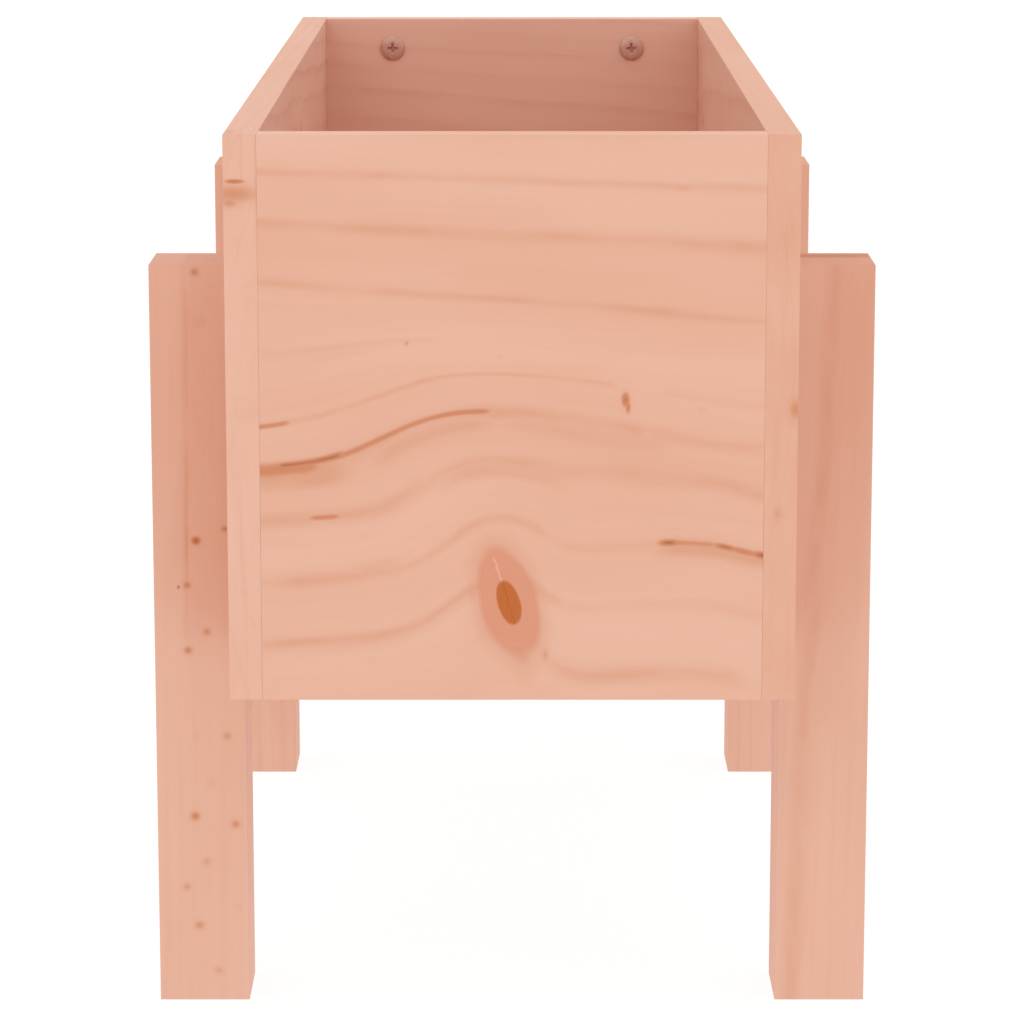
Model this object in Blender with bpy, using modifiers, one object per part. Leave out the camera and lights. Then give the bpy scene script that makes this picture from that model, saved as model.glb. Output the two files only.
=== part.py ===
"""A raised planter: an open trough of boards on four posts, put together with screws.

Metres, +Z up. X runs across the trough and Y along it, with the front end at -Y. The origin
is on the ground, under the middle of the trough. Every board, post, cleat, slat and screw is
an object of its own. Screw holes are cut by hidden copies of the screws, a little larger.
"""

import math
from collections import namedtuple

import bmesh
import bpy
from mathutils import Matrix, Vector

# Overall sizes
LENGTH = 0.620  # over the ends of the long boards
WIDTH = 0.300  # over the posts
HEIGHT = 0.380  # from the ground to the rim

# Trough boards and posts
BOARD = 0.013  # thickness
BOARD_HEIGHT = 0.224
LEG = 0.038  # side of a post's square section
LEG_DROP = 0.064  # from the rim down to the top of a post
LEG_SETBACK = 0.100  # from the trough's end to the nearer face of a post
EASE = 0.0006  # chamfer along every edge of the wood

# Floor
CLEAT = 0.020  # side of a cleat's square section
SLAT = 0.013  # thickness
SLAT_COUNT = 6
DRAIN = 0.008  # gap beside each slat, for water

# Gaps
FIT = 0.0003  # between two pieces that touch
CLEARANCE = 0.0004  # between a screw and its hole, all along

# Screws with a countersunk head
LONG_SHANK = 0.0020  # radius
LONG_HEAD = 0.0040  # radius
SHORT_SHANK = 0.0017
SHORT_HEAD = 0.0035
SINK = 0.0002  # from the wood's face down to the head
END_GRAIN_BITE = 0.030  # how deep a corner screw goes into an end board
LEG_BITE = 0.027  # how deep a leg screw goes into a post
POINT_COVER = 0.003  # wood left beyond a screw's point

# Screws with a wide flat head, near the rim
RIM_SHANK = 0.0021
RIM_HEAD = 0.0064
RIM_HEAD_HEIGHT = 0.0018
RIM_HEAD_EDGE = 0.0007  # thickness of the head at its edge
RIM_HEAD_FLAT = 0.5  # flat middle of the head, as a share of its radius
RIM_HEAD_SHOULDER = 0.9  # where the head rounds over, as a share of its radius

# Where the screws go
LEG_SCREW_MARGIN = 0.030  # from a post's top, and from the floor, to a leg screw
CORNER_SCREWS = 3
CORNER_SCREW_MARGIN = 0.030  # from a board's top and bottom edges to a corner screw
CLEAT_SCREW_GAPS = (1, 2, 4, 5)  # the gaps between slats that have a cleat screw under them
RIM_SCREW_SPACING = 0.127
RIM_SCREW_DROP = 0.0155  # from the rim down to the head's centre

# What all screws share
POINT_SHARE = 2.5  # length of the point beside the shank's radius
RECESS_SPAN = 0.50  # reach of the cross recess as a share of the head's radius
RECESS_WIDTH = 0.0011
RECESS_TAPER = 0.45  # size of the recess's bottom beside its mouth
RECESS_DEPTH = 0.0016
TURN_STEPS = 12  # sides of everything round
SMOOTH_ANGLE = math.radians(35)  # edges sharper than this stay crisp

# What follows from those
TROUGH_WIDTH = WIDTH - 2 * (LEG + FIT)
INNER_WIDTH = TROUGH_WIDTH - 2 * BOARD
INNER_LENGTH = LENGTH - 2 * BOARD
BOTTOM = HEIGHT - BOARD_HEIGHT
LEG_TOP = HEIGHT - LEG_DROP
FLOOR_TOP = BOTTOM + CLEAT + FIT + SLAT
SLAT_WIDTH = (INNER_LENGTH - (SLAT_COUNT + 1) * DRAIN) / SLAT_COUNT
SIDES = {"left": -1, "right": 1}
ENDS = {"front": -1, "rear": 1}

ScrewKind = namedtuple("ScrewKind", "mesh hole")


# ---------------------------------------------------------------- scene and materials


def clear_scene():
    for old in list(bpy.data.objects):
        bpy.data.objects.remove(old, do_unlink=True)


def collection(name, parent):
    made = bpy.data.collections.new(name)
    parent.children.link(made)
    return made


def material(name, colour, roughness, metallic=0.0):
    made = bpy.data.materials.new(name)
    made.use_nodes = True
    shader = made.node_tree.nodes["Principled BSDF"]
    shader.inputs["Base Color"].default_value = (*colour, 1.0)
    shader.inputs["Roughness"].default_value = roughness
    shader.inputs["Metallic"].default_value = metallic
    made.diffuse_color = (*colour, 1.0)
    return made


def place(name, mesh, into, at, turn=None):
    """An object at a point, turned so that its +Z is along turn, and held by the origin empty."""
    made = bpy.data.objects.new(name, mesh)
    made.location = at
    if turn is not None:
        made.rotation_euler = turn.to_track_quat("Z", "Y").to_euler()
    made.parent = ORIGIN
    into.objects.link(made)
    return made


# ---------------------------------------------------------------- wood


def wood(name, size, centre, finish):
    """A sawn piece with eased edges, and an empty collection for the holes through it."""
    mesh = bpy.data.meshes.new(name)
    shape = bmesh.new()
    bmesh.ops.create_cube(shape, size=1.0, matrix=Matrix.Diagonal((*size, 1.0)))
    shape.to_mesh(mesh)
    shape.free()
    mesh.materials.append(finish)
    made = place(name, mesh, PARTS, centre)
    ease = made.modifiers.new("eased edges", "BEVEL")
    ease.width = EASE
    ease.segments = 1
    HOLES[name] = collection("holes_" + name, CUTTERS)
    return made


def cut_holes():
    """Cuts every piece of wood with the holes that the screws left for it."""
    for name, holes in HOLES.items():
        if holes.objects:
            cut = bpy.data.objects[name].modifiers.new("screw holes", "BOOLEAN")
            cut.operation = "DIFFERENCE"
            cut.operand_type = "COLLECTION"
            cut.collection = holes
            cut.solver = "EXACT"


# ---------------------------------------------------------------- screws


def turned(name, profile):
    """The closed mesh that a profile of (radius, height) points sweeps round Z, top to bottom."""
    mesh = bpy.data.meshes.new(name)
    shape = bmesh.new()
    points = [shape.verts.new((radius, 0.0, height)) for radius, height in profile]
    for upper, lower in zip(points, points[1:]):
        shape.edges.new((upper, lower))
    shape.to_mesh(mesh)
    shape.free()
    guide = bpy.data.objects.new(name, mesh)
    CUTTERS.objects.link(guide)
    sweep = guide.modifiers.new("sweep", "SCREW")
    sweep.axis = "Z"
    sweep.steps = sweep.render_steps = TURN_STEPS
    sweep.use_merge_vertices = True
    sweep.merge_threshold = 0.00001
    made = evaluated_mesh(guide, name)
    made.shade_smooth()
    made.set_sharp_from_angle(angle=SMOOTH_ANGLE)
    return made


def evaluated_mesh(source, name):
    """A new mesh of an object with its modifiers. The object itself is removed."""
    bpy.context.view_layer.update()
    graph = bpy.context.evaluated_depsgraph_get()
    made = bpy.data.meshes.new_from_object(source.evaluated_get(graph))
    made.name = name
    bpy.data.objects.remove(source, do_unlink=True)
    return made


def recess_bar(reach):
    """A bar that tapers downwards from twice its depth, reaching the same way along +X and -X."""
    mesh = bpy.data.meshes.new("recess_bar")
    shape = bmesh.new()
    squared = Matrix.Rotation(math.radians(45), 4, "Z")
    narrowed = Matrix.Diagonal((1.0, RECESS_WIDTH / (2 * reach), 1.0, 1.0))
    bmesh.ops.create_cone(
        shape,
        cap_ends=True,
        segments=4,
        radius1=reach * math.sqrt(2) * RECESS_TAPER,
        radius2=reach * math.sqrt(2),
        depth=2 * RECESS_DEPTH,
        matrix=narrowed @ squared,
    )
    shape.to_mesh(mesh)
    shape.free()
    return mesh


def recessed(mesh, name, head_radius, head_top, finish):
    """The mesh with a cross recess cut into its head by two crossed bars."""
    bar_mesh = recess_bar(head_radius * RECESS_SPAN)
    blank = bpy.data.objects.new(name, mesh)
    CUTTERS.objects.link(blank)
    bars = []
    for turn in (0, 90):
        bar = bpy.data.objects.new("recess_bar", bar_mesh)
        bar.location.z = head_top
        bar.rotation_euler.z = math.radians(turn)
        CUTTERS.objects.link(bar)
        cut = blank.modifiers.new("recess", "BOOLEAN")
        cut.operation = "DIFFERENCE"
        cut.object = bar
        cut.solver = "EXACT"
        bars.append(bar)
    made = evaluated_mesh(blank, name)
    for bar in bars:
        bpy.data.objects.remove(bar, do_unlink=True)
    made.materials.clear()
    made.materials.append(finish)
    return made


def countersunk(name, shank, head, length, finish):
    """A screw whose head lies just under the face, at height 0, and the hole it goes in."""

    def below_head(extra):
        return [
            (head + extra, -SINK),
            (shank + extra, -SINK - (head - shank)),
            (shank + extra, POINT_SHARE * shank - length),
            (0.0, -length - extra),
        ]

    screw = turned(name, [(0.0, -SINK), *below_head(0.0)])
    mouth = [(0.0, head), (head + CLEARANCE, head)]
    return ScrewKind(
        recessed(screw, name, head, -SINK, finish),
        turned(name + "_hole", mouth + below_head(CLEARANCE)),
    )


def wide_headed(name, length, finish):
    """A screw whose head stands on the face, at height 0, and the hole its shank goes in."""
    top = FIT + RIM_HEAD_HEIGHT
    edge = FIT + RIM_HEAD_EDGE
    point = POINT_SHARE * RIM_SHANK
    shape = [
        (0.0, top),
        (RIM_HEAD * RIM_HEAD_FLAT, top),
        (RIM_HEAD * RIM_HEAD_SHOULDER, (top + edge) / 2),
        (RIM_HEAD, edge),
        (RIM_HEAD, FIT),
        (RIM_SHANK, FIT),
        (RIM_SHANK, point - length),
        (0.0, -length),
    ]
    hole = [
        (0.0, RIM_HEAD),
        (RIM_SHANK + CLEARANCE, RIM_HEAD),
        (RIM_SHANK + CLEARANCE, point - length),
        (0.0, -length - CLEARANCE),
    ]
    return ScrewKind(
        recessed(turned(name, shape), name, RIM_HEAD, top, finish),
        turned(name + "_hole", hole),
    )


def drive(kind, name, head, facing, pieces):
    """A screw with its head at a point, facing along a direction, and its hole in each piece."""
    place(name, kind.mesh, PARTS, head, facing)
    hole = place("hole_" + name, kind.hole, CUTTERS, head, facing)
    hole.hide_render = True
    hole.display_type = "WIRE"
    for piece in pieces:
        HOLES[piece].objects.link(hole)


# ---------------------------------------------------------------- the planter


def trough_boards():
    """Two long boards, and two end boards that stand between them."""
    side_finish = material("side_board_wood", (0.76, 0.43, 0.31), 0.62)
    end_finish = material("end_board_wood", (0.78, 0.45, 0.33), 0.62)
    middle = BOTTOM + BOARD_HEIGHT / 2
    for side, x in SIDES.items():
        centre = (x * (TROUGH_WIDTH - BOARD) / 2, 0.0, middle)
        wood("side_board_" + side, (BOARD, LENGTH, BOARD_HEIGHT), centre, side_finish)
    for end, y in ENDS.items():
        centre = (0.0, y * (LENGTH - BOARD) / 2, middle)
        wood("end_board_" + end, (INNER_WIDTH - 2 * FIT, BOARD, BOARD_HEIGHT), centre, end_finish)


def leg_place(side, end):
    """The centre of a post's section."""
    x = SIDES[side] * (WIDTH - LEG) / 2
    y = ENDS[end] * (LENGTH / 2 - LEG_SETBACK - LEG / 2)
    return x, y


def legs():
    """Four square posts against the outer faces of the long boards."""
    finish = material("leg_wood", (0.74, 0.41, 0.29), 0.62)
    for end in ENDS:
        for side in SIDES:
            x, y = leg_place(side, end)
            wood(f"leg_{end}_{side}", (LEG, LEG, LEG_TOP), (x, y, LEG_TOP / 2), finish)


def slat_middle(number):
    """The middle of a slat, counted from 1 at the front."""
    return -INNER_LENGTH / 2 + number * DRAIN + (number - 0.5) * SLAT_WIDTH


def cleat_x(side):
    return SIDES[side] * ((INNER_WIDTH - CLEAT) / 2 - FIT)


def floor():
    """Two cleats along the lower edges of the long boards, and the slats that lie on them."""
    cleat_finish = material("cleat_wood", (0.70, 0.40, 0.27), 0.68)
    slat_finish = material("slat_wood", (0.72, 0.42, 0.29), 0.68)
    for side in SIDES:
        size = (CLEAT, INNER_LENGTH - 2 * FIT, CLEAT)
        wood("floor_cleat_" + side, size, (cleat_x(side), 0.0, BOTTOM + CLEAT / 2), cleat_finish)
    for number in range(1, SLAT_COUNT + 1):
        size = (INNER_WIDTH - 2 * FIT, SLAT_WIDTH, SLAT)
        centre = (0.0, slat_middle(number), FLOOR_TOP - SLAT / 2)
        wood(f"floor_slat_{number}", size, centre, slat_finish)


def leg_screws(finish):
    """Two to a post, driven outwards from inside the trough."""
    length = BOARD + FIT + LEG_BITE
    kind = countersunk("leg_screw", LONG_SHANK, LONG_HEAD, length, finish)
    heights = {"lower": FLOOR_TOP + LEG_SCREW_MARGIN, "upper": LEG_TOP - LEG_SCREW_MARGIN}
    for end in ENDS:
        for side, outwards in SIDES.items():
            y = leg_place(side, end)[1]
            for level, z in heights.items():
                drive(
                    kind,
                    f"leg_screw_{end}_{side}_{level}",
                    (outwards * INNER_WIDTH / 2, y, z),
                    Vector((-outwards, 0.0, 0.0)),
                    ["side_board_" + side, f"leg_{end}_{side}"],
                )


def corner_screws(finish):
    """A row down each corner, through the long board into the end board's end grain."""
    length = BOARD + FIT + END_GRAIN_BITE
    kind = countersunk("corner_screw", LONG_SHANK, LONG_HEAD, length, finish)
    lowest = BOTTOM + CORNER_SCREW_MARGIN
    step = (HEIGHT - CORNER_SCREW_MARGIN - lowest) / (CORNER_SCREWS - 1)
    for end, y in ENDS.items():
        for side, outwards in SIDES.items():
            for number in range(CORNER_SCREWS):
                drive(
                    kind,
                    f"corner_screw_{end}_{side}_{number + 1}",
                    (outwards * TROUGH_WIDTH / 2, y * (LENGTH - BOARD) / 2, lowest + number * step),
                    Vector((outwards, 0.0, 0.0)),
                    ["side_board_" + side, "end_board_" + end],
                )


def floor_screws(finish):
    """Cleats to the long boards, and slats down into the cleats."""
    cleat_length = CLEAT + FIT + BOARD - POINT_COVER
    cleat_kind = countersunk("cleat_screw", SHORT_SHANK, SHORT_HEAD, cleat_length, finish)
    slat_length = SLAT + FIT + CLEAT - POINT_COVER
    slat_kind = countersunk("slat_screw", SHORT_SHANK, SHORT_HEAD, slat_length, finish)
    for side, outwards in SIDES.items():
        cleat = "floor_cleat_" + side
        for number, gap in enumerate(CLEAT_SCREW_GAPS, start=1):
            y = (slat_middle(gap) + slat_middle(gap + 1)) / 2
            head = (cleat_x(side) - outwards * CLEAT / 2, y, BOTTOM + CLEAT / 2)
            name = f"cleat_screw_{side}_{number}"
            inwards = Vector((-outwards, 0.0, 0.0))
            drive(cleat_kind, name, head, inwards, [cleat, "side_board_" + side])
        for number in range(1, SLAT_COUNT + 1):
            head = (cleat_x(side), slat_middle(number), FLOOR_TOP)
            name = f"slat_screw_{side}_{number}"
            drive(slat_kind, name, head, Vector((0, 0, 1)), [f"floor_slat_{number}", cleat])


def rim_screws():
    """Two wide-headed screws near the rim on the inner face of each end board."""
    finish = material("rim_screw_bronze", (0.43, 0.19, 0.13), 0.5, 0.5)
    kind = wide_headed("rim_screw", BOARD - POINT_COVER, finish)
    for end, y in ENDS.items():
        for side, x in SIDES.items():
            drive(
                kind,
                f"rim_screw_{end}_{side}",
                (x * RIM_SCREW_SPACING / 2, y * INNER_LENGTH / 2, HEIGHT - RIM_SCREW_DROP),
                Vector((0.0, -y, 0.0)),
                ["end_board_" + end],
            )


def build():
    trough_boards()
    legs()
    floor()
    zinc = material("zinc_screw", (0.62, 0.62, 0.60), 0.35, 1.0)
    leg_screws(zinc)
    corner_screws(zinc)
    floor_screws(zinc)
    rim_screws()
    cut_holes()


clear_scene()
PARTS = collection("raised_planter", bpy.context.scene.collection)
CUTTERS = collection("cutters", bpy.context.scene.collection)
CUTTERS.hide_render = True
ORIGIN = bpy.data.objects.new("planter_origin", None)
PARTS.objects.link(ORIGIN)
HOLES = {}
build()
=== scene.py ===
"""Looks of a raised planter: planed pine boards on four square posts, held by screws.

Places in the scene are in metres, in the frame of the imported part. The wood's patterns are laid out
in millimetres from the middle of each piece, and the shapes of timber and screws are in millimetres
too.
"""

import math
import random
from collections import namedtuple

import bmesh
import bpy
from mathutils import Matrix, Vector, noise


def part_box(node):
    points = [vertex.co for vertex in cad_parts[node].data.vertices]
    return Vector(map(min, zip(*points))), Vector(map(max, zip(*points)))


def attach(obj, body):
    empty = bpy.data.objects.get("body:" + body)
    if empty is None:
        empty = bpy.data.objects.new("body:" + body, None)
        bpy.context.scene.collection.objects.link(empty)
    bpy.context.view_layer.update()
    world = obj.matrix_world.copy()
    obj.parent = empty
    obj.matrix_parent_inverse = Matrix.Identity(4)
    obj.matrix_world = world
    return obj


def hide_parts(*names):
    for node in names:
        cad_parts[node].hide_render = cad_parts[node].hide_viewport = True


MM = 0.001

# Camera: fitted to the view of one short end, from a little above the rim.
CAMERA_PLACE = (0.0, -1.8787, 0.5390)
CAMERA_DOWN = 11.08  # degrees
CAMERA_LENS = 143.3  # millimetres, like the sensor
CAMERA_SENSOR = 36.0

# Light. A white room of radiance 1 shows a surface in its own colour; the lamps add form to it.
ROOM = 1.0
FLOOR_SIZE = 60
FLOOR_TONE = 0.15
FLOOR_GLOW = 0.90
LIGHT = (1.07, 1.10, 1.10)  # what reaches the front: red, green and blue
LAMP_AIM = (0, 0, 0.2)
Lamp = namedtuple("Lamp", "name place size power")
LAMPS = (
    Lamp("key_light", (-1.5, -2.4, 2.3), 2.0, 5.4),
    Lamp("fill_light", (2.2, -1.4, 1.6), 2.0, 3.5),
    Lamp("top_light", (0.2, 0.6, 2.6), 1.6, 3.5),
)

# Wood colours, as they look in white light.
PALE = (237, 190, 168)
WARM = (230, 176, 149)
LATE = (214, 148, 111)
BLUSH = (224, 160, 136)
UMBER = (162, 90, 46)
RESIN = (206, 126, 82)
KNOT_RING = (221, 148, 118)
KNOT_HEART = (195, 105, 44)
KNOT_CRACK = (146, 74, 34)
KNOT_SEAM = (240, 190, 160)

# The wood's surface.
RING_TAPER = 0.022  # how fast the rings widen along the grain
FACING = (0.55, 0.85)  # a face is end grain, or a narrow side, from here to here
THROUGH = 1e4  # half depth of a knot that goes right through
GRAIN_STRENGTH = 0.35
GRAIN_DEPTH = 0.00012  # metres
WOOD_GLOSS = 0.35
WOOD_IOR = 1.46

# Shapes of planed timber, in millimetres.
EDGE_STATIONS = (0.0, 0.12, 0.3, 0.6, 1.2)  # grid lines this far in from each edge
EDGE_ROUND = 0.25
EDGE_ROUND_SPREAD = 0.10
EDGE_WAVES = (23, 17, 17)  # how far apart the changes in rounding are
SNUG = 0.31  # added to each end of an end board, so that it meets the long boards
CELL = 12.0
KNOT_CELL = 1.5
LEAST_GAPS = (0.1, 0.9)  # between grid lines, near an edge and elsewhere
MODELLED_KNOT = 7.0  # a knot longer than this each way gets a finer grid
KNOT_REACH = 1.4  # the finer grid's half size, in knot sizes
KNOT_SWELL = 0.10
KNOT_HOLLOW = 0.16
SWELL_PLACE, SWELL_WIDTH = 0.9, 0.35  # in knot sizes
FLAT_MARGIN = 2.0  # no relief this near an edge
TIGHT = 0.35  # the rounding of an end board where it meets a long board, as a share

# A knot: its middle u, v, w; half sizes; turn in degrees; the heart's share of it; how dark it is.
# A half_w of 0 means right through the piece. A heart of 1 means a pin knot or a stain.
Knot = namedtuple("Knot", "u v w half_u half_v half_w turn heart dark")
# A mark along the grain: its line, half width and strength, and where it starts and ends.
Mark = namedtuple("Mark", "line half dark start end")
# How one piece was cut: axes for along, across and out; pith place; ring width and contrast; for
# its ends and for its narrow sides, how dark they are and how much of the rings they show; slope,
# sway and tone; then its marks and knots. The ends' darkness is the end grain's own tone; the narrow
# sides' darkness is painted shade, which tones down the rims that the top light makes too bright.
Timber = namedtuple(
    "Timber", "axes seed pith rings contrast ends sides slope sway tone lines resin glows knots"
)

# Screws, in millimetres. axis is the world axis they lie along, outwards is 1 where the head faces
# away from the middle, and bare is the share of the shank with no thread.
Screw = namedtuple("Screw", "axis outwards shank head pitch bare length wide slot")
SCREWS = {
    "leg_screw": Screw(0, -1, 2.0, 4.0, 1.9, 0.35, 0, False, "zinc_screw"),
    "corner_screw": Screw(0, 1, 2.0, 4.0, 1.9, 0.35, 0, False, "zinc_screw"),
    "cleat_screw": Screw(0, -1, 1.7, 3.5, 1.6, 0.30, 0, False, "zinc_screw"),
    "slat_screw": Screw(2, 1, 1.7, 3.5, 1.6, 0.30, 0, False, "zinc_screw"),
    "rim_screw": Screw(1, -1, 2.1, 6.4, 1.9, 0.05, 0, True, "rim_screw_bronze"),
}
WIDE_HEAD = (  # depth and radius
    (0.0, 3.1), (0.12, 4.3), (0.42, 5.3), (0.85, 6.1), (1.15, 6.38), (1.7, 6.4), (1.8, 6.3),
)
FLAT_HEAD = ((0.0, 0.15), (0.06, 0.03), (0.30, 0.0))  # depth, and how far inside the full radius
NECK_SHARE = 0.9
CORE_SHARE = 0.72
RIDGE_SHARE = 0.28
RIDGE_HALF = 0.26  # half width of the thread's ridge, as a share of its pitch
THREAD_ROWS = 5  # rows of points for each turn of the thread
POINT_SHARE = 2.4  # length of the point, in shank radii
TURN_STEPS = 24
HOLE_STEPS = 32
RECESS_SHARE = 0.52  # the recess's reach, as a share of a flat head
WIDE_RECESS = 3.1
RECESS_WIDTH = 0.72
RECESS_RISE, RECESS_FLARE = 0.5, 1.1  # how far its cutter stands out, and its growth there
RECESS_DEPTH, RECESS_TAPER = 1.7, 0.42  # how deep it goes, and its growth there
HEAD_ROOM = 0.14
SHANK_ROOM = 0.03
END_ROOM = 0.3
HOLE_RISE = 1.5  # how far a countersink's cutter stands out
HOLE_RIM = 0.34  # depth of the straight part of a countersink
UNDER_HEAD = 1.2  # a wide head's hole starts this far below the head's top
CONTACT = 0.5  # a screw that reaches this far into a piece is in it
STAIN = 0.20
STAIN_SPREAD = 1.25
STAIN_REACH = 2.5
UPRIGHT = 0.04  # a wide head's recess is this share of half a turn off upright, at most
SHARP = 35  # degrees
ZINC = (196, 197, 192)
BRONZE = (226, 176, 154)
METAL_GRAIN = 0.00001  # metres

ALL = (-1000.0, 1000.0)
SIDE_AXES, END_AXES, POST_AXES, SLAT_AXES = (1, 2, 0), (0, 2, 1), (2, 0, 1), (0, 1, 2)
POST_FACES, CLEAT_FACES = (150, 19, 19), (280, 10, 10)


# --- arithmetic on shader nodes -------------------------------------------------------------------


class Num:
    """A number that varies over a surface: a node's output, with ordinary arithmetic."""

    def __init__(self, graph, socket):
        self.graph, self.socket = graph, socket

    def __add__(self, other):
        return self.graph.math("ADD", self, other)

    def __sub__(self, other):
        return self.graph.math("SUBTRACT", self, other)

    def __rsub__(self, other):
        return self.graph.math("SUBTRACT", other, self)

    def __mul__(self, other):
        return self.graph.math("MULTIPLY", self, other)

    def __truediv__(self, other):
        return self.graph.math("DIVIDE", self, other)

    def __neg__(self):
        return self * -1.0

    def __abs__(self):
        return self.graph.math("ABSOLUTE", self)

    __radd__ = __add__
    __rmul__ = __mul__


class Graph:
    """Builds the nodes of one material or one node group."""

    def __init__(self, tree):
        self.tree = tree

    def node(self, kind, feeds=None, **settings):
        made = self.tree.nodes.new(kind)
        for name, value in settings.items():
            setattr(made, name, value)
        for key, value in (feeds or {}).items():
            self.feed(made.inputs[key], value)
        return made

    def feed(self, socket, value):
        value = value.socket if isinstance(value, Num) else value
        if isinstance(value, bpy.types.NodeSocket):
            self.tree.links.new(value, socket)
        else:
            socket.default_value = value

    def call(self, group, **feeds):
        """Uses a node group, and returns its outputs."""
        made = self.node("ShaderNodeGroup", node_tree=group)
        for name, value in feeds.items():
            self.feed(made.inputs[name], value)
        return [Num(self, socket) for socket in made.outputs]

    def math(self, operation, *operands):
        made = self.node("ShaderNodeMath", dict(enumerate(operands)), operation=operation)
        return Num(self, made.outputs[0])

    def vector(self, operation, first, second=(0.0, 0.0, 0.0)):
        made = self.node("ShaderNodeVectorMath", {0: first, 1: second}, operation=operation)
        return Num(self, made.outputs["Value" if operation == "LENGTH" else "Vector"])

    def join(self, x, y, z):
        return Num(self, self.node("ShaderNodeCombineXYZ", {0: x, 1: y, 2: z}).outputs[0])

    def split(self, vector):
        return [Num(self, s) for s in self.node("ShaderNodeSeparateXYZ", {0: vector}).outputs]

    def least(self, a, b):
        return self.math("MINIMUM", a, b)

    def most(self, a, b):
        return self.math("MAXIMUM", a, b)

    def bell(self, x, half):
        """1 where x is 0, falling off smoothly over half."""
        y = x / half
        return self.math("EXPONENT", -(y * y))

    def ease(self, low, high, x):
        """0 below low, 1 above high, and smooth in between."""
        made = self.node(
            "ShaderNodeMapRange",
            {"Value": x, "From Min": low, "From Max": high},
            interpolation_type="SMOOTHSTEP",
        )
        return Num(self, made.outputs["Result"])

    def noise(self, x, y, z, detail=2.0, roughness=0.5):
        """Smooth noise about 0, mostly within 1 of it."""
        made = self.node(
            "ShaderNodeTexNoise",
            {"Vector": self.join(x, y, z), "Scale": 1.0, "Detail": detail, "Roughness": roughness},
        )
        return (Num(self, made.outputs[0]) - 0.5) * 3.0

    def chance(self, number):
        """A fixed random number from 0 to 1 for each whole number."""
        made = self.node("ShaderNodeTexWhiteNoise", {"W": number}, noise_dimensions="1D")
        return Num(self, made.outputs[0])

    def mix(self, first, second, share):
        made = self.node("ShaderNodeMix", data_type="RGBA", clamp_factor=True)
        self.feed(made.inputs[0], share)
        self.feed(made.inputs[6], first)
        self.feed(made.inputs[7], second)
        return Num(self, made.outputs[2])


SOCKETS = {"value": "NodeSocketFloat", "vector": "NodeSocketVector", "colour": "NodeSocketColor"}


def group(name, inputs, outputs, build):
    """A node group. build turns its inputs into its outputs; both are given as name: kind."""
    tree = bpy.data.node_groups.new(name, "ShaderNodeTree")
    for way, sockets in (("INPUT", inputs), ("OUTPUT", outputs)):
        for label, kind in sockets.items():
            tree.interface.new_socket(label, in_out=way, socket_type=SOCKETS[kind])
    graph = Graph(tree)
    entry = graph.node("NodeGroupInput")
    results = build(graph, *(Num(graph, entry.outputs[label]) for label in inputs))
    graph.node("NodeGroupOutput", dict(zip(outputs, results)))
    return tree


def linear(byte):
    share = byte / 255
    return share / 12.92 if share <= 0.04045 else ((share + 0.055) / 1.055) ** 2.4


def colour(seen):
    """The colour of a surface that looks like these sRGB values in the scene's light."""
    return (*(linear(c) / light for c, light in zip(seen, LIGHT)), 1.0)


def new_material(name):
    made = bpy.data.materials.new(name)
    made.use_nodes = True
    return made, Graph(made.node_tree), made.node_tree.nodes["Principled BSDF"]


# --- pine -----------------------------------------------------------------------------------------


def knot_shape(graph, place, middle, size, turn, seed):
    """Distance from a knot's middle in knot sizes, place on its axes, and its push on rings."""
    away = graph.vector("SUBTRACT", place, middle)
    turned = graph.node(
        "ShaderNodeVectorRotate", {"Vector": away, "Angle": turn}, rotation_type="Z_AXIS"
    )
    x, y, z = graph.split(turned.outputs[0])
    size_u, size_v, size_w = graph.split(size)
    ragged = graph.noise(x / size_u * 0.9, y / size_v * 0.9, seed) * 0.12 + 1.0
    far = graph.vector("LENGTH", graph.join(x / size_u, y / size_v, z / size_w)) * ragged
    du, dv, dw = graph.split(away)
    push_u = du / (abs(dv) * 0.35 + size_u * 2.4)
    push_v = dv / (size_v * 2.9)
    push = dv * 0.92 * graph.math("EXPONENT", -(push_u * push_u) - push_v * push_v)
    return far, x, y, push


def knot_paint(graph, shade, hollow, far, x, y, breadth, heart, dark):
    """A sound knot: halo, ring with its own growth rings, and a heart with a crack."""
    halo = (1.0 - graph.ease(0.92, 1.5, far)) * 0.32 * dark
    ring = (1.0 - graph.ease(0.84, 1.06, far)) * dark
    growth = graph.math("SINE", far * breadth * 3.4) * 0.05 + 0.84
    core = 1.0 - graph.ease(heart * 0.88, heart * 1.06, far)
    wander = graph.noise(y / 3.0, breadth, 0.5, 1.0) * 0.45
    crack = graph.bell(x + wander, 0.22) * core
    seam = graph.bell(x + wander + 0.6, 0.28) * (1.0 - graph.ease(0.70, 0.85, far)) * (1.0 - core)
    seam = seam * graph.ease(0.0, 1.0, y)
    shade = graph.mix(shade, colour(LATE), halo)
    shade = graph.mix(shade, colour(KNOT_RING), ring * growth)
    shade = graph.mix(shade, colour(KNOT_SEAM), seam * 0.8)
    shade = graph.mix(shade, colour(KNOT_HEART), core * dark)
    shade = graph.mix(shade, colour(KNOT_CRACK), crack * 0.35)
    return shade, core * 0.5 + crack + hollow


def pin_field(graph, place, middle, size, dark, before):
    """The strongest of before and this small dark spot."""
    away = graph.vector("DIVIDE", graph.vector("SUBTRACT", place, middle), size)
    far = graph.vector("LENGTH", away)
    return (graph.most(before, graph.math("EXPONENT", -(far * far)) * dark),)


def mark_field(graph, u, q, line, half, dark, start, end, before):
    """The strongest of before and this band along the grain."""
    fade = half * 1.2 + 1.5
    span = graph.ease(start - fade, start + fade, u) * (1.0 - graph.ease(end - fade, end + fade, u))
    return (graph.most(before, graph.bell(q - line, half) * dark * span),)


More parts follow.
